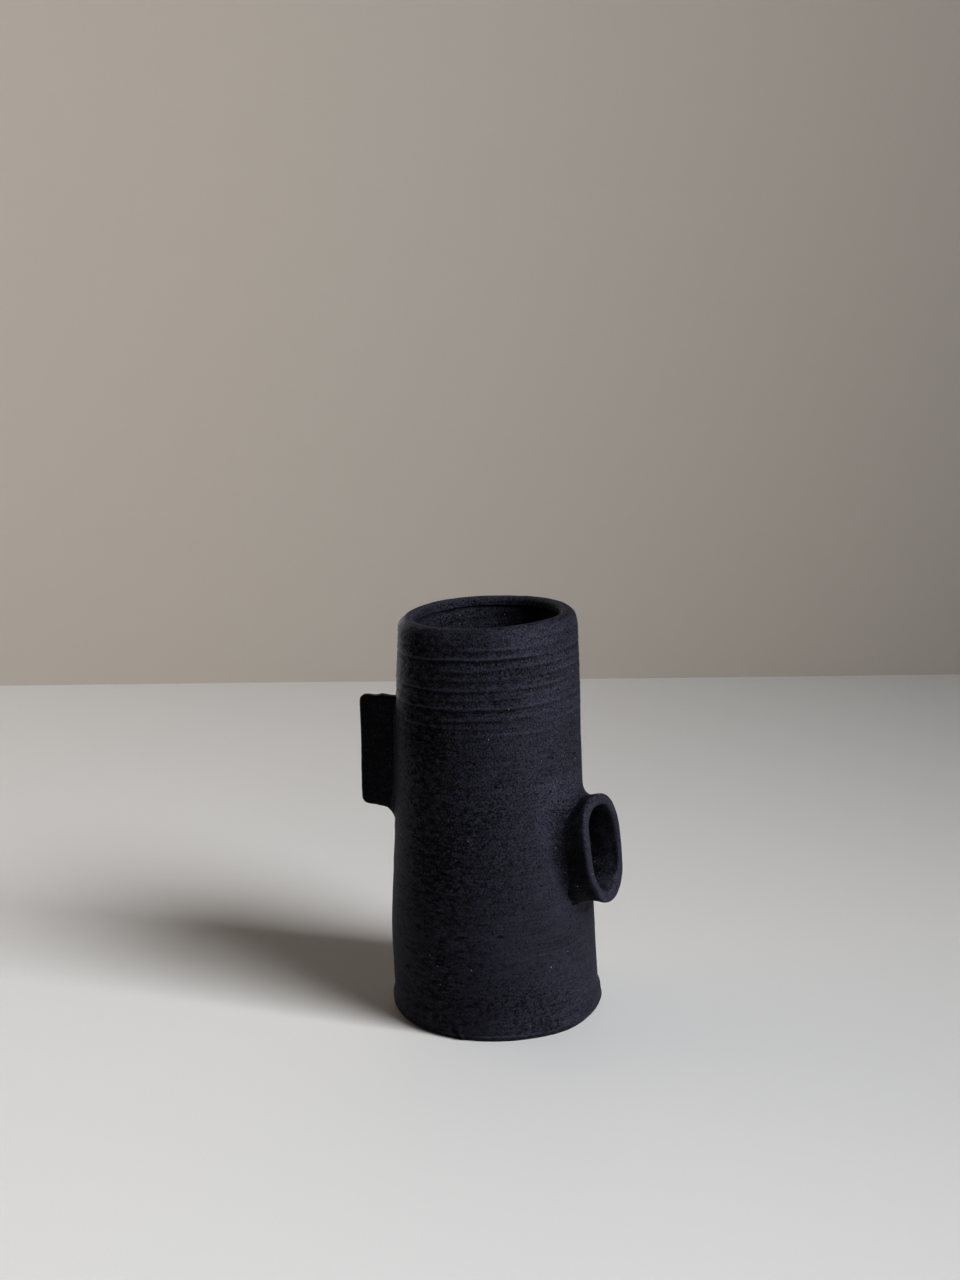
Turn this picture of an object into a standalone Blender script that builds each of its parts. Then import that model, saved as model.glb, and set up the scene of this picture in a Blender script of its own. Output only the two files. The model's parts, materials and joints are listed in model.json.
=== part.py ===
"""Black stoneware vase: a thrown cylinder on a slab base, with a hollow side spout and a flat fin.

Metres, +Z up. The origin is the middle of the foot, on the surface that the vase stands on.
The spout points to the right and towards the front (-Y), and the fin points to the left.
"""
import math

import bmesh
import bpy
from mathutils import Matrix, Vector

# Whole form
HEIGHT = 0.199  # middle of the lip above the surface it stands on
GAP = 0.0003  # clearance between pieces that touch
BASE_TOP = 0.0082  # thickness of the base slab
TURNS = 64  # facets round the vase

# Outer wall: height and radius, joined by a smooth curve
FORM = (
    (0.0085, 0.0510),
    (0.035, 0.0507),
    (0.050, 0.0503),
    (0.075, 0.0485),
    (0.100, 0.0467),
    (0.134, 0.0452),
    (0.161, 0.0447),
    (0.191, 0.0436),
)
WALL_STEPS = 12
WALL_AT_FOOT = 0.0080
WALL_AT_TOP = 0.0070

# Lip: a rounded crest, broad on the outside and tight on the inside
CREST_RADIUS = 0.0386
CREST_DROP_OUT = 0.0090
CREST_DROP_IN = 0.0022
MOUTH_RADIUS = 0.0354
UNDERCUT_HEIGHT = 0.1935
LIP_STEPS = 5

# Base slab
BASE_RADIUS = 0.0521
BASE_EDGE_ROUND = 0.0010
BEVEL_HEIGHT = 0.0025
BEVEL_WIDTH = 0.0010

# The hand-made lean: the middle line shifts to +X, and the rim's plane rises towards +X
TOP_SHIFT = 0.0015
WAIST_SHIFT = -0.0012
RIM_TILT = math.radians(1.4)

# Side spout: an oval tube, square to the wall
SPOUT_AZIMUTH = math.radians(-28)
SPOUT_RISE = math.radians(4.0)
SPOUT_REACH = 0.0618  # axis of the vase to the spout's rim
SPOUT_HEIGHT = 0.0864
SPOUT_HALF_WIDTH = 0.0195
SPOUT_HALF_HEIGHT = 0.0262
SPOUT_POWER = 2.5  # 2 is an ellipse, more is squarer
SPOUT_SKEW = -0.14  # sideways shift for each unit of height
SPOUT_WALL = 0.0048
SPOUT_LIP_DEPTH = 0.0026
SPOUT_ROOT = 0.022  # rim to the hidden end of the blank, inside the wall
OVAL_STEPS = 48

# Coil of clay that joins the spout to the wall
SPOUT_COIL_REACH_TOP = 0.0150
SPOUT_COIL_REACH_BOTTOM = 0.0050
SPOUT_COIL_REACH_SIDE = 0.0075
SPOUT_COIL_RISE = 0.0050

# Fin: an upright slab
FIN_AZIMUTH = math.radians(168)
FIN_THICKNESS = 0.0055
FIN_EDGE_ROUND = 0.0010
FIN_OUTER = 0.0640
FIN_OUTER_LOW = 0.0644
FIN_TOP = 0.1575
FIN_CREST = 0.1582
FIN_LOW_CORNER = 0.1030
FIN_ROOT_LOW = 0.0980
FIN_CORNER = 0.0026
FIN_LOW_CORNER_ROUND = 0.0014
FIN_INNER = 0.040  # hidden end of the blank, inside the wall
CORNER_STEPS = 4

# Coil of clay that joins the fin to the wall
FIN_COIL_REACH_TOP = 0.0010
FIN_COIL_REACH_BOTTOM = 0.0065
FIN_COIL_REACH_SIDE = 0.0030
FIN_COIL_RISE = 0.0038

COIL_EDGE = 0.0009  # height of a coil's outer edge above the wall
COIL_LEDGE = 0.0005  # width of a coil's top edge beside the piece it joins
COIL_ARC_STEPS = 5
BLANK_DEPTH = 0.004  # how far a blank runs on behind the face that cuts it

CLAY = (0.022, 0.022, 0.029, 1)
CLAY_ROUGHNESS = 0.85


def clear_scene():
    """Takes out whatever the scene already holds."""
    for obj in list(bpy.data.objects):
        bpy.data.objects.remove(obj, do_unlink=True)


def new_collection(name):
    """Makes a collection and links it to the scene."""
    made = bpy.data.collections.new(name)
    bpy.context.scene.collection.children.link(made)
    return made


def clay(name, lightness=1.0):
    """A matt, blue-black fired clay."""
    material = bpy.data.materials.new(name)
    material.use_nodes = True
    shader = material.node_tree.nodes["Principled BSDF"]
    colour = [channel * lightness for channel in CLAY[:3]]
    shader.inputs["Base Color"].default_value = (*colour, 1)
    shader.inputs["Roughness"].default_value = CLAY_ROUGHNESS
    shader.inputs["Metallic"].default_value = 0.0
    return material


def outer_radius(height):
    """Radius of the outer wall at a height, on a smooth curve through FORM."""
    last = len(FORM) - 2
    i = next((k for k in range(last) if height <= FORM[k + 1][0]), last)

    def slope(k):
        low, high = FORM[max(k - 1, 0)], FORM[min(k + 1, len(FORM) - 1)]
        return (high[1] - low[1]) / (high[0] - low[0])

    (z0, r0), (z1, r1) = FORM[i], FORM[i + 1]
    span = z1 - z0
    u = min(max((height - z0) / span, 0.0), 1.0)
    rise = u * u * (3 - 2 * u)
    ease_in = u * (1 - u) ** 2
    ease_out = u * u * (u - 1)
    return r0 + (r1 - r0) * rise + span * (slope(i) * ease_in + slope(i + 1) * ease_out)


def inner_radius(height):
    """Radius of the inner wall, which is thicker at the foot."""
    share = height / HEIGHT
    return outer_radius(height) - (WALL_AT_FOOT + (WALL_AT_TOP - WALL_AT_FOOT) * share)


def wall_heights(low, high):
    """Evenly spaced heights, both ends included."""
    return [low + (high - low) * k / WALL_STEPS for k in range(WALL_STEPS + 1)]


def quarter(steps):
    """Angles of a quarter turn, both ends included."""
    return [math.pi / 2 * k / steps for k in range(steps + 1)]


def crest_outside():
    """The lip's outer quarter, from the crest down to the wall, as radius and height."""
    low = FORM[-1]
    width = low[1] - CREST_RADIUS
    return [
        (CREST_RADIUS + width * math.sin(a), HEIGHT - CREST_DROP_OUT * (1 - math.cos(a)))
        for a in quarter(LIP_STEPS)
    ]


def crest_inside():
    """The lip's inner quarter, from the mouth up to the crest, as radius and height."""
    width = CREST_RADIUS - MOUTH_RADIUS
    return [
        (CREST_RADIUS - width * math.cos(a), HEIGHT - CREST_DROP_IN * (1 - math.sin(a)))
        for a in quarter(LIP_STEPS)
    ]


def wall_profile():
    """Closed outline of the wall: down the outside, under the foot and up the inside."""
    foot = FORM[0][0]
    outside = [(outer_radius(z), z) for z in reversed(wall_heights(foot, FORM[-1][0]))]
    inside = [(inner_radius(z), z) for z in wall_heights(foot, UNDERCUT_HEIGHT)]
    lip = crest_inside()[:-1]
    return crest_outside() + outside[1:] + inside + lip


def blank_profile():
    """Outline of a solid blank that is one gap larger than the outer wall."""
    outside = [(r + GAP, z) for r, z in crest_outside()]
    outside += [
        (outer_radius(z) + GAP, z)
        for z in reversed(wall_heights(FORM[0][0], FORM[-1][0]))
    ][1:]
    return [(0, HEIGHT)] + outside + [(0, FORM[0][0])]


def base_profile():
    """Outline of the base slab, from the middle of its top to the middle of its underside."""
    arc = [
        (
            BASE_RADIUS - BASE_EDGE_ROUND * (1 - math.sin(a)),
            BASE_TOP - BASE_EDGE_ROUND * (1 - math.cos(a)),
        )
        for a in quarter(3)
    ]
    bevel = [(BASE_RADIUS, BEVEL_HEIGHT), (BASE_RADIUS - BEVEL_WIDTH, 0)]
    return [(0, BASE_TOP)] + arc + bevel + [(0, 0)]


def turned(name, profile, closed, collection):
    """A shape turned round +Z from an outline of radius and height."""
    mesh = bpy.data.meshes.new(name)
    count = len(profile)
    edges = [(k, k + 1) for k in range(count - 1)]
    if closed:
        edges.append((count - 1, 0))
    mesh.from_pydata([(r, 0, z) for r, z in profile], edges, [])
    obj = bpy.data.objects.new(name, mesh)
    collection.objects.link(obj)
    screw = obj.modifiers.new("Turn", "SCREW")
    screw.steps = TURNS
    screw.render_steps = TURNS
    screw.use_merge_vertices = True
    screw.merge_threshold = 0.00001
    return obj


def oval(half_width, half_height, power, skew=0.0, lower=None):
    """Points of a rounded, slightly leaning oval, as across and up."""
    points = []
    for k in range(OVAL_STEPS):
        angle = math.tau * k / OVAL_STEPS
        c, s = math.cos(angle), math.sin(angle)
        tall = half_height if s > 0 or lower is None else lower
        up = math.copysign(abs(s) ** (2 / power), s) * tall
        across = math.copysign(abs(c) ** (2 / power), c) * half_width
        points.append((across + skew * up, up))
    return points


def loft(name, rings, frame, collection, ring_closed=False):
    """A solid through rings of points; it closes on itself, or has a cap at each end."""
    mesh = bpy.data.meshes.new(name)
    shape = bmesh.new()
    rows = [[shape.verts.new(point) for point in ring] for ring in rings]
    pairs = list(zip(rows, rows[1:]))
    if ring_closed:
        pairs.append((rows[-1], rows[0]))
    else:
        shape.faces.new(rows[0])
        shape.faces.new(rows[-1])
    for low, high in pairs:
        count = len(low)
        for k in range(count):
            after = (k + 1) % count
            shape.faces.new((low[k], low[after], high[after], high[k]))
    bmesh.ops.recalc_face_normals(shape, faces=shape.faces)
    shape.to_mesh(mesh)
    shape.free()
    obj = bpy.data.objects.new(name, mesh)
    obj.matrix_world = frame
    collection.objects.link(obj)
    return obj


def radial_frame(azimuth, rise, reach, height):
    """A frame whose X points out of the vase, Y goes round it and Z goes up."""
    out = Vector((math.cos(azimuth) * reach, math.sin(azimuth) * reach, height))
    turn = Matrix.Rotation(azimuth, 4, "Z") @ Matrix.Rotation(-rise, 4, "Y")
    return Matrix.Translation(out) @ turn


def skin(frame, across, up):
    """Where a line along the frame's X, through across and up, meets the outer wall."""
    out = 0.0
    for _ in range(12):
        point = frame @ Vector((out, across, up))
        out += outer_radius(point.z) - math.hypot(point.x, point.y)
    return out


def cut(obj, cutter):
    """Takes the cutter's shape out of the object."""
    boolean = obj.modifiers.new("Cut " + cutter.name, "BOOLEAN")
    boolean.operation = "DIFFERENCE"
    boolean.solver = "EXACT"
    boolean.object = cutter


def spout_ring(inset, out):
    """The spout's outline, drawn in by an amount, at a distance along its axis."""
    points = oval(
        SPOUT_HALF_WIDTH - inset, SPOUT_HALF_HEIGHT - inset, SPOUT_POWER, SPOUT_SKEW
    )
    return [(out, across, up) for across, up in points]


def spout_prism(name, inset, low, high, frame, collection):
    """A plain oval bar along the spout's axis."""
    return loft(name, [spout_ring(inset, low), spout_ring(inset, high)], frame, collection)


def make_spout(frame, blank, collection):
    """The oval tube with its rounded rim; its root is cut to the wall's curve."""
    rim = [
        (SPOUT_WALL * (1 - math.cos(a)) / 2, -SPOUT_LIP_DEPTH * (1 - math.sin(a)))
        for a in (math.pi * k / 6 for k in range(7))
    ]
    stations = [(0.0, -SPOUT_ROOT)] + rim + [(SPOUT_WALL, -SPOUT_ROOT)]
    rings = [spout_ring(inset, out) for inset, out in stations]
    spout = loft("side_spout", rings, frame, collection, ring_closed=True)
    cut(spout, blank)
    return spout


def coil_rings(frame, outline, rise):
    """Rings of a smeared coil: a short ledge, a hollow curve down to the wall, and a root.

    outline(grow) gives the oval at a share of the coil's whole reach, with 0 at the joined piece.
    """
    rings = [[(rise + skin(frame, y, z), y, z) for y, z in outline(0, -2 * COIL_LEDGE)]]
    for a in quarter(COIL_ARC_STEPS):
        share, lift = 1 - math.cos(a), COIL_EDGE + (rise - COIL_EDGE) * (1 - math.sin(a))
        points = outline(share, GAP + COIL_LEDGE)
        rings.append([(lift + skin(frame, y, z), y, z) for y, z in points])
    rings.append([(skin(frame, y, z) - BLANK_DEPTH, y, z) for y, z in points])
    return rings


def make_spout_coil(frame, blank, plug, collection):
    """The coil round the spout's root, deepest above it."""

    def outline(share, extra):
        return oval(
            SPOUT_HALF_WIDTH + extra + SPOUT_COIL_REACH_SIDE * share,
            SPOUT_HALF_HEIGHT + extra + SPOUT_COIL_REACH_TOP * share,
            SPOUT_POWER,
            SPOUT_SKEW,
            SPOUT_HALF_HEIGHT + extra + SPOUT_COIL_REACH_BOTTOM * share,
        )

    rings = coil_rings(frame, outline, SPOUT_COIL_RISE)
    coil = loft("spout_join_coil", rings, frame, collection)
    cut(coil, blank)
    cut(coil, plug)
    return coil


def corner(centre_x, centre_z, radius, start, end):
    """Points of a rounded corner in the fin's outline, from one angle to another, in degrees."""
    angles = [
        math.radians(start + (end - start) * k / CORNER_STEPS)
        for k in range(CORNER_STEPS + 1)
    ]
    return [
        (centre_x + radius * math.cos(a), centre_z + radius * math.sin(a)) for a in angles
    ]


def fin_outline(grow):
    """The fin's outline as distance from the vase's axis and height, grown by an amount."""
    round_top = FIN_CORNER + grow
    round_low = FIN_LOW_CORNER_ROUND + grow
    top = [(FIN_INNER, FIN_TOP + grow), (FIN_OUTER - 3 * FIN_CORNER, FIN_CREST + grow)]
    high = corner(FIN_OUTER - FIN_CORNER, FIN_CREST - FIN_CORNER, round_top, 90, 0)
    low = corner(
        FIN_OUTER_LOW - FIN_LOW_CORNER_ROUND,
        FIN_LOW_CORNER + FIN_LOW_CORNER_ROUND,
        round_low,
        0,
        -75,
    )
    return top + high + low + [(FIN_INNER, FIN_ROOT_LOW - grow)]


def fin_blank(name, grow, frame, collection):
    """The slab, as a flat outline with thickness and rounded edges."""
    curve = bpy.data.curves.new(name, "CURVE")
    curve.dimensions = "2D"
    curve.fill_mode = "BOTH"
    edge = FIN_EDGE_ROUND
    curve.extrude = FIN_THICKNESS / 2 + grow - edge
    curve.bevel_depth = edge
    curve.bevel_resolution = 1
    curve.offset = -edge
    outline = fin_outline(grow)
    spline = curve.splines.new("POLY")
    spline.points.add(len(outline) - 1)
    for point, (out, up) in zip(spline.points, outline):
        point.co = (out, up, 0, 1)
    spline.use_cyclic_u = True
    guide = bpy.data.objects.new(name + "_curve", curve)
    collection.objects.link(guide)
    guide.matrix_world = frame @ Matrix.Rotation(math.pi / 2, 4, "X")
    bpy.context.view_layer.update()
    evaluated = guide.evaluated_get(bpy.context.evaluated_depsgraph_get())
    mesh = bpy.data.meshes.new_from_object(evaluated)
    shape = bmesh.new()
    shape.from_mesh(mesh)
    bmesh.ops.remove_doubles(shape, verts=shape.verts, dist=0.00001)
    bmesh.ops.recalc_face_normals(shape, faces=shape.faces)
    shape.to_mesh(mesh)
    shape.free()
    fin = bpy.data.objects.new(name, mesh)
    fin.matrix_world = guide.matrix_world
    collection.objects.link(fin)
    bpy.data.objects.remove(guide, do_unlink=True)
    return fin


def make_fin_coil(frame, blank, fin_cutter, collection):
    """The coil round the fin's root, deepest below it and almost flush above it."""
    middle = (FIN_TOP + FIN_ROOT_LOW) / 2
    half = (FIN_TOP - FIN_ROOT_LOW) / 2
    here = frame @ Matrix.Translation((0, 0, middle))

    def outline(share, extra):
        return oval(
            FIN_THICKNESS / 2 + extra + FIN_COIL_REACH_SIDE * share,
            half + extra + FIN_COIL_REACH_TOP * share,
            5,
            0.0,
            half + extra + FIN_COIL_REACH_BOTTOM * share,
        )

    rings = coil_rings(here, outline, FIN_COIL_RISE)
    coil = loft("fin_join_coil", rings, here, collection)
    cut(coil, blank)
    cut(coil, fin_cutter)
    return coil


def leaned(point):
    """Where a point of the true upright form lies on the slightly leaning pot."""
    share = point.z / HEIGHT
    shift = TOP_SHIFT * share + WAIST_SHIFT * 4 * share * (1 - share)
    lift = point.x * math.tan(RIM_TILT) * share
    return Vector((point.x + shift, point.y, point.z + lift))


def finish(obj, material, collection):
    """Applies the modifiers, leans the shape, and gives it its material and shading."""
    bpy.context.view_layer.update()
    evaluated = obj.evaluated_get(bpy.context.evaluated_depsgraph_get())
    mesh = bpy.data.meshes.new_from_object(evaluated)
    obj.modifiers.clear()
    obj.data = mesh
    world = obj.matrix_world.copy()
    back = world.inverted()
    for vertex in mesh.vertices:
        vertex.co = back @ leaned(world @ vertex.co)
    mesh.materials.clear()
    mesh.materials.append(material)
    mesh.shade_smooth()
    mesh.set_sharp_from_angle(angle=math.radians(40))
    for holder in list(obj.users_collection):
        holder.objects.unlink(obj)
    collection.objects.link(obj)


def hide_cutters(cutters):
    """Cutters stay in the file as guides, out of the model."""
    for obj in cutters.objects:
        obj.hide_render = True
        obj.display_type = "WIRE"


def main():
    clear_scene()
    vase = new_collection("stoneware_vase")
    cutters = new_collection("cutters")

    spout_frame = radial_frame(SPOUT_AZIMUTH, SPOUT_RISE, SPOUT_REACH, SPOUT_HEIGHT)
    fin_frame = Matrix.Rotation(FIN_AZIMUTH, 4, "Z")

    blank = turned("wall_blank", blank_profile(), False, cutters)
    far_end = -SPOUT_ROOT - 3 * BLANK_DEPTH
    bore = spout_prism("spout_bore", SPOUT_WALL, far_end, BLANK_DEPTH, spout_frame, cutters)
    plug = spout_prism("spout_plug", -GAP, far_end, BLANK_DEPTH, spout_frame, cutters)
    fin_cutter = fin_blank("fin_cutter", GAP, fin_frame, cutters)

    wall = turned("vase_wall", wall_profile(), True, vase)
    cut(wall, bore)
    base = turned("base_disc", base_profile(), False, vase)
    spout = make_spout(spout_frame, blank, vase)
    spout_coil = make_spout_coil(spout_frame, blank, plug, vase)
    fin = fin_blank("side_fin", 0.0, fin_frame, vase)
    cut(fin, blank)
    fin_coil = make_fin_coil(fin_frame, blank, fin_cutter, vase)

    body_clay = clay("thrown_clay")
    slab_clay = clay("slab_clay", 0.95)
    coil_clay = clay("coil_clay", 0.9)
    for obj, material in (
        (wall, body_clay),
        (base, slab_clay),
        (spout, slab_clay),
        (spout_coil, coil_clay),
        (fin, slab_clay),
        (fin_coil, coil_clay),
    ):
        finish(obj, material, vase)
    hide_cutters(cutters)

    stand = bpy.data.objects.new("vase", None)
    vase.objects.link(stand)
    for obj in (wall, base, spout, spout_coil, fin, fin_coil):
        obj.parent = stand


main()
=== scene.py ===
"""The looks of the black stoneware vase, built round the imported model.

Metres, +Z up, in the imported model's own axes. Azimuths go round +Z from +X, so the front is at -90 degrees.
Every piece is a fine grid of points, pushed in and out by a relief of throwing rings, torn skin, pits and
drag marks. Pieces that meet read the same relief, so the clay runs on across their joints.
"""
import json
import math

import bmesh
import bpy
import numpy as np
from mathutils import Matrix, Vector

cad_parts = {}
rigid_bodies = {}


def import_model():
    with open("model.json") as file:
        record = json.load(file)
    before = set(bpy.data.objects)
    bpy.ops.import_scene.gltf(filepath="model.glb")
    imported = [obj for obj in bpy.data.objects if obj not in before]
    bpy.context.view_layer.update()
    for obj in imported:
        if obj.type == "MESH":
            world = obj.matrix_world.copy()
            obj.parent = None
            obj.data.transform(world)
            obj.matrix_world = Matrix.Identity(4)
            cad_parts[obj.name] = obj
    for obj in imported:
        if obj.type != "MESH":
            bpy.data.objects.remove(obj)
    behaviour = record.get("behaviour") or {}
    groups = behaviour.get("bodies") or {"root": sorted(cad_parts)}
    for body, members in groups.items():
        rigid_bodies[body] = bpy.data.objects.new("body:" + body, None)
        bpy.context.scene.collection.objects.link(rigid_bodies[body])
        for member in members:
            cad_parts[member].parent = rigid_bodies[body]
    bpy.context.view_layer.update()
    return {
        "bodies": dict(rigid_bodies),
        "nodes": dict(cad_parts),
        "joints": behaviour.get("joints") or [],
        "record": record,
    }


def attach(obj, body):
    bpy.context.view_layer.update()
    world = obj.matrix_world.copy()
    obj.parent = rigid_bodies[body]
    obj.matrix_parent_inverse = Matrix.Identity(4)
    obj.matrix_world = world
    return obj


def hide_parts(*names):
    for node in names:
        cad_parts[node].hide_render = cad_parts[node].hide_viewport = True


MM = 0.001

# The form, as the CAD model has it; FORM is the height and outer radius of the wall
HEIGHT = 0.199
FORM = (
    (0.0085, 0.0510),
    (0.035, 0.0507),
    (0.050, 0.0503),
    (0.075, 0.0485),
    (0.100, 0.0467),
    (0.134, 0.0452),
    (0.161, 0.0447),
    (0.191, 0.0436),
)
WALL_AT_FOOT = 0.0080
WALL_AT_TOP = 0.0070
CREST_RADIUS = 0.0386
CREST_DROP_OUT = 0.0090
CREST_DROP_IN = 0.0022
MOUTH_RADIUS = 0.0354
UNDERCUT_HEIGHT = 0.1950  # the step inside the mouth, 1.5 mm above the CAD model's
BASE_TOP = 0.0082
BASE_RADIUS = 0.0521
BEVEL_HEIGHT = 0.0025
BEVEL_WIDTH = 0.0010
TOP_SHIFT = 0.0015
WAIST_SHIFT = -0.0012
RIM_TILT = math.radians(1.4)

SPOUT_AZIMUTH = math.radians(-28)
SPOUT_RISE = math.radians(4.0)
SPOUT_REACH = 0.0618
SPOUT_HEIGHT = 0.0864
SPOUT_HALF_WIDTH = 0.0195
SPOUT_HALF_HEIGHT = 0.0262
SPOUT_POWER = 2.5
SPOUT_SKEW = -0.14
SPOUT_OVAL = (SPOUT_HALF_WIDTH, SPOUT_HALF_HEIGHT, SPOUT_POWER, SPOUT_SKEW)
SPOUT_WALL = 0.0048
SPOUT_LIP_DEPTH = 0.0026

FIN_AZIMUTH = math.radians(168)
FIN_THICKNESS = 0.0055
FIN_OUTER = 0.0640
FIN_OUTER_LOW = 0.0644
FIN_TOP = 0.1575
FIN_CREST = 0.1582
FIN_LOW_CORNER = 0.1030
FIN_ROOT_LOW = 0.0980
FIN_CORNER = 0.0026
FIN_LOW_CORNER_ROUND = 0.0014
FIN_INNER = 0.0425
FIN_OVAL = (FIN_THICKNESS / 2, (FIN_TOP - FIN_ROOT_LOW) / 2, 5.0, 0.0)

# Fineness of the grids
COLUMNS = 560
OUTER_STEP = 0.55 * MM
INNER_STEP = 2.2 * MM
SEEN_DOWN_TO = 0.150  # how far down the inside the grid stays fine
COIL_COLUMNS = 240
COIL_ROWS = 28
SKIN_ROWS = 672
SKIN_COLUMNS = 1024
SKIN_TOP = 0.206
MEAN_RADIUS = 0.048
PITS_TRIED = 9000

# Throwing rings on the outside: height and strength of each ridge
RINGS = (
    (0.1930, 0.35),
    (0.1893, 0.45),
    (0.1846, 1.00),
    (0.1797, 0.55),
    (0.1751, 0.75),
    (0.1700, 1.15),
    (0.1656, 0.50),
    (0.1612, 1.05),
    (0.1562, 0.55),
    (0.1524, 0.50),
    (0.1484, 0.35),
)
RING_RIDGE = 0.45 * MM
RING_WIDTH = 0.66 * MM
RING_GROOVE = 1.15 * MM  # ridge down to the groove under it

# Long marks that a dragged grain of grit left: azimuth, height, half length, half width, depth
DRAGS = (
    (-131, 0.0888, 0.0120, 0.0005, 0.00035),
    (-121, 0.0788, 0.0140, 0.0006, 0.00045),
    (-124, 0.0625, 0.0062, 0.0006, 0.00045),
    (-135, 0.0522, 0.0036, 0.0007, 0.00050),
    (-118, 0.0860, 0.0030, 0.0008, 0.00050),
    (-108, 0.0515, 0.0030, 0.0008, 0.00045),
    (-87, 0.0520, 0.0018, 0.0009, 0.00045),
    (-37, 0.0605, 0.0045, 0.0013, 0.00080),
    (-142, 0.1610, 0.0100, 0.0006, 0.00040),
    (-140, 0.1425, 0.0080, 0.0007, 0.00040),
    (-146, 0.0300, 0.0028, 0.0010, 0.00040),
    (-127, 0.0185, 0.0050, 0.0008, 0.00040),
    (62, 0.0930, 0.0130, 0.0006, 0.00040),
    (88, 0.0680, 0.0100, 0.0007, 0.00045),
    (118, 0.1210, 0.0080, 0.0006, 0.00040),
)

NICK = -113.5  # azimuth of a nick in the foot's edge

CLAY_DARK = (0.0032, 0.0032, 0.0052)
CLAY_LIGHT = (0.0500, 0.0500, 0.0745)
SPECK_COLOUR = (0.42, 0.41, 0.38, 1)
FLOOR_COLOUR = (0.70, 0.705, 0.71)
BACKDROP_COLOUR = (0.567, 0.526, 0.482)

CAMERA_PLACE = (-0.0024, -0.8413, 0.3602)
CAMERA_PITCH = math.radians(11.77)
CAMERA_ROLL = math.radians(2.02)
CAMERA_LENS = 49.95
COOL_LIGHT = (0.985, 0.99, 1.0)
WARM_LIGHT = (1.0, 0.82, 0.62)
BACKDROP_Y = 0.711
BACKDROP_SLANT = 0.104  # how much further back the wall lies for each unit to the left


# ---------------------------------------------------------------- noise and relief


def smooth(low, high, value):
    """0 below low, 1 above high, and an S-curve between."""
    share = np.clip((value - low) / (high - low), 0, 1)
    return share * share * (3 - 2 * share)


def near(azimuth, centre, width):
    """1 where an azimuth in radians meets the centre, fading over the width, both of them in degrees."""
    away = (azimuth - np.radians(centre) + math.pi) % math.tau - math.pi
    return np.exp(-((away / math.radians(width)) ** 2))


def lattice(random, up, across, shape):
    """One octave of smooth noise, from -1 to 1, that repeats at the raster's edges."""
    grid = random.uniform(-1, 1, (up, across))
    rows = np.arange(shape[0]) * up / shape[0]
    columns = np.arange(shape[1]) * across / shape[1]
    i, j = rows.astype(int), columns.astype(int)
    u, v = rows - i, columns - j
    u = (u * u * (3 - 2 * u))[:, None]
    v = (v * v * (3 - 2 * v))[None, :]
    low, high = grid[i], grid[(i + 1) % up]
    after = (j + 1) % across
    low = low[:, j] * (1 - v) + low[:, after] * v
    high = high[:, j] * (1 - v) + high[:, after] * v
    return low * (1 - u) + high * u


def cloud(seed, up, across, octaves, shape, keep=0.5):
    """Fractal noise: octaves of smooth noise, each finer and weaker, scaled to about -1 to 1."""
    random = np.random.default_rng(seed)
    total, size = np.zeros(shape), 1.0
    for octave in range(octaves):
        total += size * lattice(random, up << octave, across << octave, shape)
        size *= keep
    return total / (1.6 * total.std())


def sample(raster, turns, share):
    """Reads a raster that repeats round the pot, at turns across and at a share of its height."""
    rows, columns = raster.shape
    x = (np.asarray(turns) % 1.0) * columns
    y = np.clip(share, 0, 1) * (rows - 1.001)
    i, j = y.astype(int), x.astype(int) % columns
    u, v = y - i, x - np.floor(x)
    after = (j + 1) % columns
    low = raster[i, j] * (1 - v) + raster[i, after] * v
    high = raster[i + 1, j] * (1 - v) + raster[i + 1, after] * v
    return low * (1 - u) + high * u


def blurred(raster, radius_rows, radius_columns):
    """The raster with its fine detail smoothed away."""
    rows = np.fft.fftfreq(raster.shape[0])[:, None]
    columns = np.fft.fftfreq(raster.shape[1])[None, :]
    fade = np.exp(-2 * math.pi**2 * ((rows * radius_rows) ** 2 + (columns * radius_columns) ** 2))
    return np.real(np.fft.ifft2(np.fft.fft2(raster) * fade))


def stamp(raster, ragged, azimuth, height, half_length, half_width, depth):
    """Presses one ragged oval dent, with a slight burr round it, into the raster."""
    rows, columns = raster.shape
    cell_up = SKIN_TOP / (rows - 1)
    cell_round = math.tau * MEAN_RADIUS / columns
    row, column = height / cell_up, azimuth / math.tau * columns
    reach_up = int(1.6 * half_width / cell_up) + 2
    reach_round = int(1.6 * half_length / cell_round) + 2
    i = np.arange(int(row) - reach_up, int(row) + reach_up + 1)
    i = i[(i >= 0) & (i < rows)]
    j = np.arange(int(column) - reach_round, int(column) + reach_round + 1)
    away_up = (i[:, None] - row) * cell_up / half_width
    away_round = (j[None, :] - column) * cell_round / half_length
    place = np.ix_(i, j % columns)
    distance = np.hypot(away_up, away_round) * (1 + 0.35 * ragged[place])
    dent = -np.clip(1 - distance**2, 0, 1) ** 0.8
    burr = 0.22 * np.exp(-(((distance - 1.2) / 0.22) ** 2)) * (away_up > 0)
    raster[place] += depth * (dent + burr)


def scatter(raster, ragged, torn, height):
    """Presses many small pits into the raster, thick where the skin is torn."""
    random = np.random.default_rng(41)
    rows, columns = raster.shape
    for _ in range(PITS_TRIED):
        i, j = int(random.integers(rows)), int(random.integers(columns))
        chance, size, long = random.random(), random.random(), random.random()
        if chance > 0.05 + 0.95 * torn[i, j] ** 1.5:
            continue
        half_width = (0.26 + 0.50 * size**4) * MM
        half_length = half_width * (1.2 + 2.6 * long * torn[i, j])
        depth = half_width * (0.50 + 0.30 * torn[i, j])
        stamp(raster, ragged, j / columns * math.tau, height[i, 0], half_length, half_width, depth)


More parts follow.
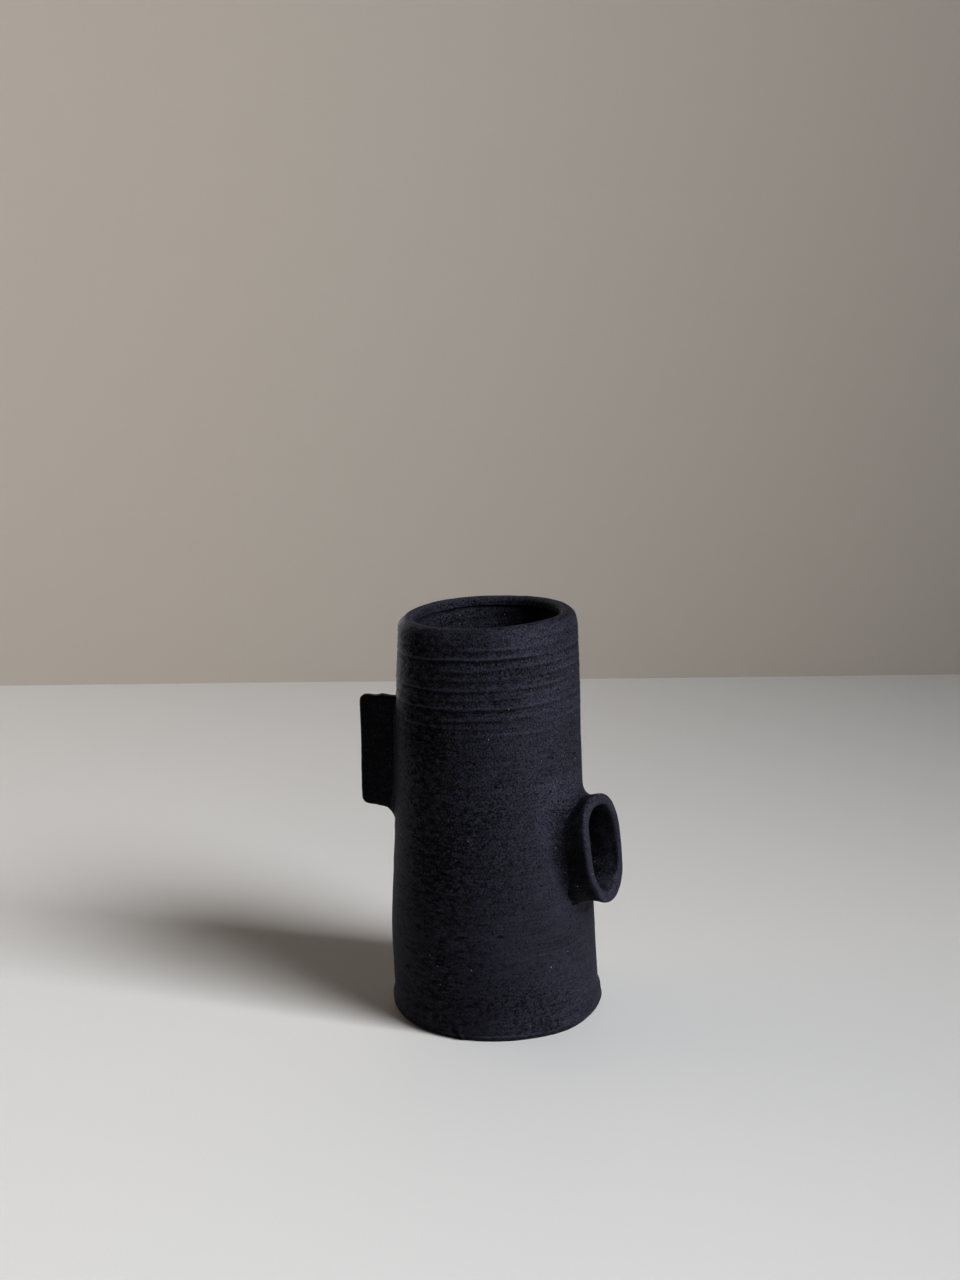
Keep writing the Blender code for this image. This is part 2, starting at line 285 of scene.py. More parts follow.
def throwing_rings(azimuth, height, wobble):
    """Ridges with a groove under each, strongest at the front left, fading down the pot."""
    total = 0.0
    for k, (ring, strength) in enumerate(RINGS):
        level = ring + 0.35 * MM * np.roll(wobble, 97 * k, axis=1)
        ridge = np.exp(-(((height - level) / RING_WIDTH) ** 2))
        groove = np.exp(-(((height - level + RING_GROOVE) / (1.3 * RING_WIDTH)) ** 2))
        patchy = 0.75 + 0.5 * np.roll(wobble, 211 * k + 50, axis=1)
        total = total + strength * patchy * (ridge - 0.8 * groove)
    side = 0.55 + 0.60 * near(azimuth, -132, 36) + 0.35 * near(azimuth, 70, 50)
    side = side - 0.25 * near(azimuth, -10, 30)
    low = smooth(0.128, 0.155, height)
    return RING_RIDGE * total * side * low


def torn_skin(azimuth, height, drift):
    """How torn the skin is at each place, from 0 to 1."""
    band = 0.60 + 0.40 * smooth(0.120, 0.150, height)
    belly = 0.45 + 0.55 * np.exp(-(((height - 0.112) / 0.045) ** 2))
    # lower down the torn patch sits nearer the front, which moves its painted shade there
    middle = -136 + 8 * smooth(0.140, 0.105, height)
    front = 1.05 * near(azimuth, middle, 19) * band
    front = front + 0.14 * near(azimuth, -102, 20) * belly
    back = 0.65 * near(azimuth, 68, 30) + 0.3 * near(azimuth, 125, 22)
    back = back + 0.45 * near(azimuth, -76, 24) * smooth(0.034, 0.012, height)
    upper = 0.55 + 0.45 * smooth(0.045, 0.095, height)
    # the lip stays torn at the left of the front, which keeps painted shade there
    lip = 1 - 0.6 * smooth(0.1925, 0.1985, height) * (1 - near(azimuth, -124, 24))
    return np.clip((front + back) * upper * lip * (1 + 0.25 * drift) + 0.13 + 0.06 * drift, 0, 1)


def make_skin():
    """The outer relief in metres, how torn it is, and how hollow (0) or proud (1) each place is."""
    shape = (SKIN_ROWS, SKIN_COLUMNS)
    azimuth = (np.arange(SKIN_COLUMNS) / SKIN_COLUMNS * math.tau)[None, :] * np.ones(shape)
    height = (np.arange(SKIN_ROWS) / (SKIN_ROWS - 1) * SKIN_TOP)[:, None] * np.ones(shape)
    drift = cloud(11, 7, 9, 3, shape)
    wobble = cloud(12, 8, 10, 3, shape)
    streaks = cloud(13, 220, 100, 2, shape, keep=0.8)
    grains = cloud(14, 290, 420, 1, shape)
    ragged = cloud(15, 200, 300, 1, shape)
    torn = torn_skin(azimuth, height, drift)
    relief = 0.16 * MM * cloud(16, 4, 5, 2, shape) + 0.07 * MM * cloud(17, 24, 14, 2, shape)
    rings = throwing_rings(azimuth, height, wobble)
    relief += rings
    torn = torn * (1 - 0.7 * smooth(0.10, 0.30, rings / MM))
    dragged = near(azimuth, -140, 30) + 0.6 * near(azimuth, 80, 40)
    rough = streaks * np.clip(0.35 + dragged, 0, 1) + grains * np.clip(0.8 - 0.6 * dragged, 0, 1)
    flakes = np.minimum(rough, 0.45) + 0.5 * np.minimum(rough + 0.4, 0)
    relief += MM * (0.02 + 0.50 * torn**1.2) * flakes
    wiped = cloud(18, 160, 6, 2, shape)
    relief += 0.010 * MM * wiped
    scatter(relief, ragged, torn, height)
    for place, level, half_length, half_width, depth in DRAGS:
        stamp(relief, ragged, math.radians(place), level, half_length, half_width, depth)
    relief = blurred(relief, 0.7, 0.7)
    relief += 0.3 * MM * near(azimuth, 180, 22) * np.exp(-(((height - 0.042) / 0.012) ** 2))
    fine = relief - blurred(relief, 8, 8)
    # painted shade and light: the material draws the hollows darker and the proud places lighter
    proud = np.clip(0.5 + fine / (0.45 * MM), 0, 1)
    return relief, torn, proud


def outside_relief(azimuth, height):
    """The outer relief at places given by azimuth in radians and height."""
    return sample(SKIN, azimuth / math.tau, height / SKIN_TOP)


def inside_relief(azimuth, height):
    """Spiral marks that the fingers left on the inner wall."""
    wave = 3.0 * azimuth + height / (6.5 * MM) * math.tau
    swell = sample(CLOUD_A, azimuth / math.tau, height / SKIN_TOP)
    wave = wave + 1.6 * swell
    marks = np.sin(wave) + 0.35 * np.sin(2 * wave + 2.0 * swell)
    return MM * (0.24 * marks + 0.10 * sample(CLOUD_B, azimuth / math.tau, height / SKIN_TOP))


# ---------------------------------------------------------------- the form


def outer_radius(height):
    """Radius of the outer wall at each height, on a smooth curve through FORM."""
    z, r = np.array(FORM).T
    k = np.arange(len(z))
    low, high = np.maximum(k - 1, 0), np.minimum(k + 1, len(z) - 1)
    slope = (r[high] - r[low]) / (z[high] - z[low])
    i = np.clip(np.searchsorted(z, height) - 1, 0, len(z) - 2)
    span = z[i + 1] - z[i]
    u = np.clip((height - z[i]) / span, 0, 1)
    ease = slope[i] * u * (1 - u) ** 2 + slope[i + 1] * u * u * (u - 1)
    return r[i] + (r[i + 1] - r[i]) * u * u * (3 - 2 * u) + span * ease


def inner_radius(height):
    """Radius of the inner wall, which is thicker at the foot."""
    return outer_radius(height) - (WALL_AT_FOOT + (WALL_AT_TOP - WALL_AT_FOOT) * height / HEIGHT)


def leaned(points):
    """Where points of the true upright form lie on the slightly leaning pot."""
    x, y, z = np.moveaxis(points, -1, 0)
    share = z / HEIGHT
    shift = TOP_SHIFT * share + WAIST_SHIFT * 4 * share * (1 - share)
    return np.stack([x + shift, y, z + x * math.tan(RIM_TILT) * share], -1)


def upright(points):
    """The reverse of leaned, close enough to read a relief by."""
    x, y, z = np.moveaxis(np.asarray(points, float), -1, 0)
    for _ in range(3):
        share = z / HEIGHT
        shift = TOP_SHIFT * share + WAIST_SHIFT * 4 * share * (1 - share)
        true_x = x - shift
        z = points[..., 2] - true_x * math.tan(RIM_TILT) * share
    return np.stack([true_x, y, z], -1)


def round_about(radius, height, azimuth):
    """Points from radius, height and azimuth."""
    return np.stack([radius * np.cos(azimuth), radius * np.sin(azimuth), height + 0 * azimuth], -1)


def stretch(low, high, step):
    """Evenly spaced values from low to high, both included, about a step apart."""
    return np.linspace(low, high, max(int(round(abs(high - low) / step)), 1) + 1)


def around(count):
    """Evenly spaced angles of a whole turn."""
    return np.arange(count) / count * math.tau


# ---------------------------------------------------------------- meshes


def new_piece(name, vertices, faces):
    """A smooth mesh object with its faces turned outwards."""
    mesh = bpy.data.meshes.new(name)
    mesh.from_pydata(vertices.tolist(), [], faces)
    shape = bmesh.new()
    shape.from_mesh(mesh)
    bmesh.ops.recalc_face_normals(shape, faces=shape.faces)
    shape.to_mesh(mesh)
    shape.free()
    mesh.shade_smooth()
    obj = bpy.data.objects.new(name, mesh)
    bpy.context.scene.collection.objects.link(obj)
    return obj


def shell(name, points, closed=True):
    """A mesh through rows of points whose columns go round; the rows close too, or end in a cap."""
    rows, columns = points.shape[:2]
    index = np.arange(rows * columns).reshape(rows, columns)
    low, high = (index, np.roll(index, -1, 0)) if closed else (index[:-1], index[1:])
    quads = np.stack([low, np.roll(low, -1, 1), np.roll(high, -1, 1), high], -1)
    faces = quads.reshape(-1, 4).tolist()
    vertices = points.reshape(-1, 3)
    if not closed:
        for row in (0, rows - 1):
            middle = len(vertices)
            vertices = np.vstack([vertices, points[row].mean(0)])
            ring = index[row]
            faces += [[int(a), int(b), middle] for a, b in zip(ring, np.roll(ring, -1))]
    return new_piece(name, vertices, faces)


def set_marks(obj, **marks):
    """Stores named values at the mesh's points, for the material to read."""
    for name, values in marks.items():
        attribute = obj.data.attributes.new(name, "FLOAT", "POINT")
        attribute.data.foreach_set("value", np.asarray(values, np.float32).ravel())


def mark_body(obj, painted_shade=0.0):
    """Marks each point of a piece of the body with how torn and how proud the skin is there.

    painted_shade, from 0 to 1, darkens the points as painted shade. The colour is also painted a little
    paler at the right of the front and darker at the left of it: painted light and shade.
    """
    places = np.empty(len(obj.data.vertices) * 3, np.float32)
    obj.data.vertices.foreach_get("co", places)
    x, y, z = upright(places.reshape(-1, 3)).T
    azimuth, radius = np.arctan2(y, x), np.hypot(x, y)
    turns, share = azimuth / math.tau, z / SKIN_TOP
    outside = smooth(-4 * MM, -2 * MM, radius - outer_radius(z))
    outside = outside * (1 - smooth(0.1975, 0.1995, z))
    worn = 0.35 * np.exp(-(((radius - CREST_RADIUS + 1.6 * MM) / MM) ** 2)) * (z > 0.1965)
    # painted highlight: a pale line along the foot's bevel at the front; the small ridge there is in the
    # geometry
    burr = 0.9 * np.exp(-(((z - BEVEL_HEIGHT) / (0.4 * MM)) ** 2)) * near(azimuth, -88, 30)
    # painted highlight: a pale band just under the lip at the right of the front
    painted_highlight = 0.30 * np.exp(-(((z - 0.190) / 0.005) ** 2)) * near(azimuth, -64, 22)
    proud = sample(PROUD, turns, share) * outside + 0.5 * (1 - outside) + worn + burr + painted_highlight * outside
    # painted light and shade: the colour is lifted at the right of the front and lowered at the left of it
    painted_light_and_shade = 0.12 * near(azimuth, -45, 24) - 0.17 * near(azimuth, -109, 25)
    proud = proud * (1 - painted_shade) + painted_light_and_shade * outside
    torn = sample(TORN, turns, share) * outside + 0.35 * (1 - outside)
    set_marks(obj, proud=proud, torn=torn)


# ---------------------------------------------------------------- wall and base


def wall_outline():
    """Radius, height and kind of each row of the wall: up the outside, over the lip, down the inside.

    The kind is 0 on the outer wall, 1 on the lip and 2 inside.
    """
    top_radius, top = FORM[-1][1], FORM[-1][0]
    outside = stretch(FORM[0][0], top, OUTER_STEP)
    angle = stretch(math.pi / 2, 0, 0.09)[1:]
    lip_out = (
        CREST_RADIUS + (top_radius - CREST_RADIUS) * np.sin(angle),
        HEIGHT - CREST_DROP_OUT * (1 - np.cos(angle)),
    )
    angle = stretch(0, math.pi / 2, 0.16)[1:]
    lip_in = (
        CREST_RADIUS - (CREST_RADIUS - MOUTH_RADIUS) * np.sin(angle),
        HEIGHT - CREST_DROP_IN * (1 - np.cos(angle)),
    )
    throat = stretch(HEIGHT - CREST_DROP_IN, UNDERCUT_HEIGHT, OUTER_STEP)[1:]
    hollow = 0.15 * MM * np.sin(math.pi * (throat - UNDERCUT_HEIGHT) / (throat[0] - UNDERCUT_HEIGHT))
    visible = stretch(UNDERCUT_HEIGHT, SEEN_DOWN_TO, 0.9 * MM)[1:]
    hidden = stretch(SEEN_DOWN_TO, FORM[0][0], INNER_STEP)[1:]
    below = np.concatenate([visible, hidden])
    radius = [outer_radius(outside), lip_out[0], lip_in[0], MOUTH_RADIUS + hollow, inner_radius(below)]
    height = [outside, lip_out[1], lip_in[1], throat, below]
    kind = [np.full(len(part), k) for part, k in zip(radius, (0, 1, 1, 2, 2))]
    return np.concatenate(radius), np.concatenate(height), np.concatenate(kind)


def make_wall():
    """The thrown cylinder with its rounded lip."""
    radius, height, kind = wall_outline()
    azimuth = around(COLUMNS)[None, :]
    along = np.stack([np.roll(radius, -1) - np.roll(radius, 1), np.roll(height, -1) - np.roll(height, 1)])
    along[:, 0], along[:, -1] = (0, 1), (0, -1)
    along = along / np.linalg.norm(along, axis=0)
    out, up = along[1][:, None], -along[0][:, None]
    r, z = radius[:, None], height[:, None]
    lip = sample(CLOUD_A, azimuth / math.tau, 0.5 + 0 * z)
    fine = sample(CLOUD_B, azimuth / math.tau, z / SKIN_TOP)
    on_lip = 0.16 * MM * lip + 0.05 * MM * fine
    outside = outside_relief(azimuth + 0 * z, z + 0 * azimuth)
    inside = inside_relief(azimuth + 0 * z, z + 0 * azimuth)
    crest = smooth(0.192, 0.198, z)
    shoulder = (0.3 + 0.7 * near(azimuth, -165, 32)) * np.exp(-(((z - 0.1958) / 0.0022) ** 2))
    push = np.where(kind[:, None] == 0, outside, outside * (1 - crest) + on_lip * crest)
    push = push + MM * shoulder * (r > CREST_RADIUS)
    inner = kind[:, None] == 2
    throat = smooth(UNDERCUT_HEIGHT - 0.001, HEIGHT - CREST_DROP_IN, z)
    push = np.where(inner, inside * (1 - throat) + on_lip * throat, push)
    points = round_about(r + out * push, z + up * push, azimuth)
    rise = MM * (0.22 * sample(CLOUD_A, azimuth / math.tau, 0.2 + 0 * z) + 0.6 * np.sin(azimuth) - 0.2)
    points[..., 2] += rise * smooth(0.17, 0.2, z)
    return shell("thrown_wall", leaned(points))


def pierce(wall, frame):
    """Cuts the spout's bore through the wall."""
    angle = around(96)
    across, up = oval(angle, 1.0 * MM - SPOUT_WALL)
    rows = [placed(frame, np.full(len(angle), out), across, up) for out in (-0.034, 0.004)]
    bore = shell("bore", leaned(np.array(rows)), closed=False)
    boolean = wall.modifiers.new("Bore", "BOOLEAN")
    boolean.operation = "DIFFERENCE"
    boolean.solver = "MANIFOLD"
    boolean.object = bore
    bpy.context.view_layer.update()
    evaluated = wall.evaluated_get(bpy.context.evaluated_depsgraph_get())
    mesh = bpy.data.meshes.new_from_object(evaluated)
    wall.modifiers.clear()
    wall.data = mesh
    bpy.data.objects.remove(bore, do_unlink=True)
    mesh.shade_smooth()
    mesh.set_sharp_from_angle(angle=math.radians(50))


def make_base():
    """The slab under the wall: its side flares a little, and a smear runs from it up onto the wall."""
    azimuth = around(COLUMNS)[None, :]
    smear_top = 0.0118
    seam_radius = 0.0435
    floor_r = np.concatenate([[0.4 * MM, 1.5 * MM], stretch(3 * MM, 0.0485, 0.9 * MM)])
    inner_z = np.where(floor_r < seam_radius, BASE_TOP, BASE_TOP - 0.0002)
    side_z = stretch(smear_top, BEVEL_HEIGHT, 0.45 * MM)
    share = smooth(0.0062, smear_top - 0.0004, side_z)
    wall_r = outer_radius(np.maximum(side_z, FORM[0][0]))
    side_r = BASE_RADIUS + (wall_r - 0.03 * MM - BASE_RADIUS) * share
    bevel = stretch(0, 1, 0.125)[1:]
    bevel_r = BASE_RADIUS - BEVEL_WIDTH * bevel**2
    bevel_z = BEVEL_HEIGHT * (1 - bevel)
    under_r = stretch(bevel_r[-1] - 0.8 * MM, 3 * MM, 1.6 * MM)
    under_r = np.concatenate([under_r, [1.5 * MM, 0.4 * MM]])
    r = np.concatenate([floor_r, [side_r[0] - 1.0 * MM], side_r, bevel_r, under_r])[:, None]
    z = np.concatenate([inner_z, [smear_top], side_z, bevel_z, 0 * under_r])[:, None]
    at_foot = smooth(0.0060, 0.0010, z) * smooth(0.0470, 0.0500, r)
    lump = 1.6 * near(azimuth, -52, 17) + 0.8 * near(azimuth, -80, 28) - 1.2 * near(azimuth, -150, 34)
    on_side = ((r > 0.0495) & (z > 0.1 * MM)).astype(float)
    push = outside_relief(azimuth + 0 * z, z + 0 * azimuth) * on_side
    aslant = azimuth + (z - 4 * MM) * 9
    nick = near(aslant, NICK, 1.2) - 0.9 * near(aslant, NICK + 2.4, 1.1)
    push = push - 0.9 * MM * nick * smooth(0.0085, 0.0060, z) * on_side + MM * lump * at_foot
    push = push + 0.35 * MM * np.exp(-(((z - BEVEL_HEIGHT) / (0.35 * MM)) ** 2)) * on_side
    spiral = np.sin(azimuth - r / (5.5 * MM) * math.tau)
    dish = 0.25 * MM * spiral * smooth(0.043, 0.038, r) * (z > 0.004)
    wire = 0.10 * MM * sample(CLOUD_B, azimuth / math.tau, 0.3 + 4 * r) * (r < 0.050) * (z < 0.1 * MM)
    points = round_about(r + push, z + dish + np.abs(wire), azimuth)
    return shell("base_slab", leaned(points), closed=False)


# ---------------------------------------------------------------- spout, fin and their coils


def radial_frame(azimuth, rise, reach, height):
    """A frame whose X points out of the vase, Y goes round it and Z goes up."""
    out = Vector((math.cos(azimuth) * reach, math.sin(azimuth) * reach, height))
    turn = Matrix.Rotation(azimuth, 4, "Z") @ Matrix.Rotation(-rise, 4, "Y")
    return np.array(Matrix.Translation(out) @ turn)


def placed(frame, out, across, up):
    """Points of the upright form from a frame's own coordinates."""
    local = np.stack([out, across, up], -1)
    return local @ frame[:3, :3].T + frame[:3, 3]


def oval(angle, grow, form=SPOUT_OVAL):
    """A rounded, leaning oval, grown by an amount, as across and up."""
    half_width, half_height, power, skew = form
    c, s = np.cos(angle), np.sin(angle)
    up = np.sign(s) * np.abs(s) ** (2 / power) * (half_height + grow)
    across = np.sign(c) * np.abs(c) ** (2 / power) * (half_width + grow)
    return across + skew * up, up


def meets_skin(frame, across, up):
    """How far out a line along the frame's X meets the wall, relief and all."""
    out = np.zeros(np.broadcast(across, up).shape)
    for _ in range(14):
        x, y, z = np.moveaxis(placed(frame, out, across, up), -1, 0)
        surface = outer_radius(z) + outside_relief(np.arctan2(y, x), z)
        out = out + surface - np.hypot(x, y)
    return out


def spout_wall(angle):
    """Thickness of the spout's wall: thickest at the bottom and low on the near side."""
    thick = 1.2 * near(angle, 229, 34) + 1.7 * near(angle, 280, 34) - 1.7 * near(angle, -12, 42)
    lumps = 0.20 * np.sin(3 * angle + 1.0) + 0.20 * np.sin(5 * angle)
    return SPOUT_WALL + MM * (thick + lumps)


def spout_side(angle, out):
    """Unevenness of the spout's outer side."""
    turns, along = angle / math.tau, 0.5 + out * 9
    broad = 0.20 * sample(CLOUD_A, turns, along) + 0.06 * sample(CLOUD_B, turns, along)
    rim = 0.7 + 1.2 * near(angle, 282, 32) + 0.3 * near(angle, 180, 40) - 2.0 * near(angle, 221, 28)
    flare = rim * smooth(-0.0090, -0.0010, out)
    waist = 2.4 * near(angle, 185, 48) * np.clip(-out / 0.012, 0, 1)
    waist = waist - 3.4 * near(angle, 224, 26) * smooth(-0.004, -0.013, out)
    return MM * (broad + 0.07 * sample(CLOUD_C, turns, 0.5 + out * 12) + flare - waist)


def make_spout(frame):
    """The oval tube with its pinched rim, and a sleeve through the wall."""
    angle = around(224)
    skin = meets_skin(frame, *oval(angle, 0))
    edge = MM * (0.30 * np.sin(2 * angle + 0.6) + 0.25 * np.sin(3 * angle - 0.8) + 0.15 * np.sin(7 * angle))
    thick = spout_wall(angle)
    rows, torn, proud = [], [], []

    def add(inset, out, pitting, painted_lightness=0.55):
        """One row round the tube, at a depth in its wall and a distance out along its axis."""
        pits = sample(CLOUD_C, angle / math.tau, 0.5 + out * 12)
        inward = inset / thick
        grow = spout_side(angle, out) * (1 - inward) - inset + MM * pitting * pits * inward
        across, up = oval(angle, grow)
        rows.append((out + 0 * angle, across, up))
        torn.append(0.1 + 2.5 * pitting + 0 * angle)
        # painted highlight: the rim is drawn lighter, partly as wear
        worn = 0.85 * smooth(-0.0022, -0.0008, out)
        flecks = (0.3 + 1.2 * max(pitting - 0.1, 0)) * pits
        proud.append(np.clip(painted_lightness + worn + flecks, 0, 1) + 0 * angle)

    lip = -SPOUT_LIP_DEPTH
    for share in stretch(0, 1, 0.05):
        out = (skin - 2 * MM) * (1 - share) + (lip + edge) * share
        # painted shade: the tube's outer side is drawn dark up to the rim
        add(0 * angle, out, 0.06, 0.25 * smooth(0.8, 1.0, share))
    slant = 0.35 * thick * near(angle, 275, 50)
    for turn in stretch(0, math.pi, 0.17)[1:-1]:
        c, s = math.cos(turn), math.sin(turn)
        across = 0.5 - 0.5 * math.copysign(abs(c) ** 0.85, c)
        add(thick * across, lip * (1 - s**0.6) + edge - slant * across, 0.09)
    for share in stretch(0, 1, 0.033):
        deep = (lip + edge - slant) * (1 - share) + (skin - 8.6 * MM) * share
        inset = thick + np.maximum(SPOUT_WALL - thick, 0) * smooth(0.25, 0.55, share)
        add(inset + 0.3 * MM * share, deep, 0.10 + 0.34 * smooth(0.12, 0.4, share))
    # The outer side of the sleeve, hidden in the wall's bore
    for depth in (8.4, 5.2, 2.0):
        add(SPOUT_WALL - 0.9 * MM, skin - depth * MM, 0)
    points = np.array([placed(frame, *row) for row in rows])
    spout = shell("pinched_spout", leaned(points))
    set_marks(spout, torn=np.array(torn), proud=np.array(proud))
    return spout


def make_coil(name, frame, form, reach, rise, side, dark):
    """A smeared coil of clay in the corner between the wall and the piece that joins it.

    reach is how far it runs out over the wall at the sides, top and bottom; rise is how far it
    climbs the joined piece at the same three places, and side is that piece's own relief.
    dark is how much painted shade darkens it where it meets the left side of that piece.
    """
    angle = around(COIL_COLUMNS)
    s = np.sin(angle)
    above, below = np.clip(s, 0, 1) ** 2, np.clip(-s, 0, 1) ** 2
    wavy = 1 + 0.10 * np.sin(3 * angle + 0.7) + 0.06 * np.sin(7 * angle)
    wide = (reach[0] + (reach[1] - reach[0]) * above + (reach[2] - reach[0]) * below) * wavy
    tall = (rise[0] + (rise[1] - rise[0]) * above + (rise[2] - rise[0]) * below) * wavy
    skin = meets_skin(frame, *oval(angle, 0, form))
    rows = []
    for share in stretch(0, 1, 1 / COIL_ROWS):
        lift = tall * (1 - share) ** 2
        tucked = 0.15 * MM * (1 - smooth(0.0, 0.12, share))
        grow = wide * share**2 + side(angle, skin + lift) * (1 - share) ** 2 - tucked
        across, up = oval(angle, grow, form)
        rows.append((meets_skin(frame, across, up) + lift - 0.03 * MM, across, up))
    bury = 1.2 * MM
    out, across, up = rows[-1]
    rows.append((out - bury, across, up))
    inward = np.minimum(side(angle, skin), side(angle, skin + tall)) - bury
    across, up = oval(angle, inward, form)
    out = meets_skin(frame, across, up)
    rows.append((out - bury, across, up))
    rows.append((out + tall * 0.8, across, up))
    points = np.array([placed(frame, *row) for row in rows])
    coil = shell(name, leaned(points))
    shares = np.concatenate([stretch(0, 1, 1 / COIL_ROWS), [1, 1, 1]])[:, None]
    # painted shade on the left side of the joined piece, fading out over the wall
    painted_shade = dark * near(angle, 176, 66) * (1 - smooth(0.0, 0.7, shares))
    mark_body(coil, painted_shade.ravel())
    return coil


def fin_side(angle, out):
    """The slope of the fin's lower edge, which the coil under it follows."""
    slope = (FIN_LOW_CORNER - FIN_ROOT_LOW) / (FIN_OUTER_LOW - FIN_INNER)
    return -slope * (out - FIN_INNER) * np.clip(-np.sin(angle), 0, 1) ** 4


def fin_heights(out, low):
    """Height of the fin's bottom edge, or of its top edge, at each distance from the vase's axis."""
    if low:
        share = (out - FIN_INNER) / (FIN_OUTER_LOW - FIN_INNER)
        line = FIN_ROOT_LOW + (FIN_LOW_CORNER - FIN_ROOT_LOW) * share
        worn = FIN_LOW_CORNER_ROUND + 2.2 * MM
        into = np.clip(out - (FIN_OUTER_LOW - worn), 0, worn)
        return line + worn - np.sqrt(worn**2 - into**2)
    share = (out - FIN_INNER) / (FIN_OUTER - FIN_INNER)
    line = FIN_TOP + (FIN_CREST - FIN_TOP) * share
    line = line + 0.45 * MM * np.exp(-(((out - 0.0535) / 0.0016) ** 2)) - 0.15 * MM * np.sin(out * 700)
    into = np.clip(out - (FIN_OUTER - FIN_CORNER), 0, FIN_CORNER)
    return line - FIN_CORNER + np.sqrt(FIN_CORNER**2 - into**2)


def make_fin():
    """The slab fin: flat sides, softly rounded and slightly uneven edges."""
    half = FIN_THICKNESS / 2
    edge = 1.7 * MM
    flat = stretch(FIN_INNER, FIN_OUTER - edge, 0.7 * MM)
    turn = stretch(0, math.pi / 2, 0.18)[1:]
    out = np.concatenate([flat, FIN_OUTER - edge + edge * np.sin(turn)])
    slim = np.concatenate([0 * flat + 1, 1 - (edge / half) * (1 - np.cos(turn))])
    slim[-1] = max(slim[-1], 0.05)
    angle = around(200)[None, :]
    s, c = np.sin(angle), np.cos(angle)
    up_share = np.sign(s) * np.abs(s) ** 0.55
    side_share = np.sign(c) * np.abs(c) ** 0.28
    x = out[:, None]
    high, low = fin_heights(x, False), fin_heights(x, True)
    z = (high + low) / 2 + (high - low) / 2 * up_share
    y = half * slim[:, None] * side_share
    ramp = smooth(0.052, FIN_OUTER, x)
    wander = sample(CLOUD_A, 0.3 + 0 * z, (z - 0.09) * 9)
    wander = wander + 0.4 * sample(CLOUD_C, 0.6 + 0 * z, (z - 0.09) * 12)
    lean_out = (FIN_OUTER_LOW - FIN_OUTER) * (FIN_CREST - z) / (FIN_CREST - FIN_LOW_CORNER)
    relief_face = sample(CLOUD_C, x * 9 + 0 * z, (z - 0.09) * 9 + 0.2 * (y > 0))
    broad = sample(CLOUD_A, x * 5 + 0 * z, (z - 0.09) * 8 + 0.3 * (y > 0))
    y = y + np.sign(y) * MM * (0.10 * broad + 0.07 * relief_face)
    x = x + ramp * (0.28 * MM * wander + lean_out)
    z = z + 0.12 * MM * relief_face * np.sign(up_share)
    frame = np.array(Matrix.Rotation(FIN_AZIMUTH, 4, "Z"))
    points = placed(frame, x + 0 * z, y, z)
    fin = shell("slab_fin", leaned(points), closed=False)
    # painted shade: the fin's faces are drawn dark; painted highlight: its rounded edges are drawn lighter
    worn = 0.4 * (slim[:, None] < 0.9)
    proud = np.clip(0.15 * relief_face + worn, 0, 1).ravel()
    proud = np.append(proud, [0.5, 0.5])  # the middles of the two end caps
    set_marks(fin, torn=np.full(len(proud), 0.3), proud=proud)
    return fin


# ---------------------------------------------------------------- materials


class Nodes:
    """Short calls for building a material's nodes."""

    def __init__(self, name):
        self.material = bpy.data.materials.new(name)
        self.material.use_nodes = True
        self.tree = self.material.node_tree
        self.shader = self.tree.nodes["Principled BSDF"]

    def add(self, kind, **inputs):
        """A node; its inputs are values, or the outputs of other nodes."""
        node = self.tree.nodes.new(kind)
        for name, value in inputs.items():
            self.put(node, name.replace("_", " "), value)
        return node

    def put(self, node, name, value):
        """Sets or links one input."""
        socket = node.inputs[int(name)] if name.isdigit() else node.inputs[name]
        if isinstance(value, bpy.types.NodeSocket):
            self.tree.links.new(value, socket)
        else:
            socket.default_value = value

    def place(self):
        """The object's own coordinates."""
        return self.add("ShaderNodeTexCoord").outputs["Object"]

    def stretched(self, place, scale):
        """Coordinates stretched along their axes."""
        return self.add("ShaderNodeMapping", Vector=place, Scale=scale).outputs["Vector"]

    def noise(self, place, scale, detail=2.0, roughness=0.5):
        """Noise from 0 to 1 with so many swells to a metre."""
        node = self.add("ShaderNodeTexNoise", Vector=place, Scale=scale, Detail=detail, Roughness=roughness)
        return node.outputs["Fac"]

    def mark(self, name):
        """A value stored at the mesh's points."""
        node = self.add("ShaderNodeAttribute")
        node.attribute_name = name
        return node.outputs["Fac"]

    def maths(self, operation, a, b=0.0, clamp=False):
        """One step of arithmetic."""
        node = self.tree.nodes.new("ShaderNodeMath")
        node.operation = operation
        node.use_clamp = clamp
        self.put(node, "0", a)
        self.put(node, "1", b)
        return node.outputs[0]

    def spread(self, value, low, high, to_low=0.0, to_high=1.0):
        """Maps a range of values onto another and holds it there."""
        node = self.tree.nodes.new("ShaderNodeMapRange")
        node.clamp = True
        self.put(node, "Value", value)
        self.put(node, "From Min", low)
        self.put(node, "From Max", high)
        self.put(node, "To Min", to_low)
        self.put(node, "To Max", to_high)
        return node.outputs["Result"]

    def mix(self, factor, a, b):
        """A mix of two colours."""
        node = self.tree.nodes.new("ShaderNodeMix")
        node.data_type = "RGBA"
        self.put(node, "0", factor)
        self.put(node, "6", a)
        self.put(node, "7", b)
        return node.outputs[2]


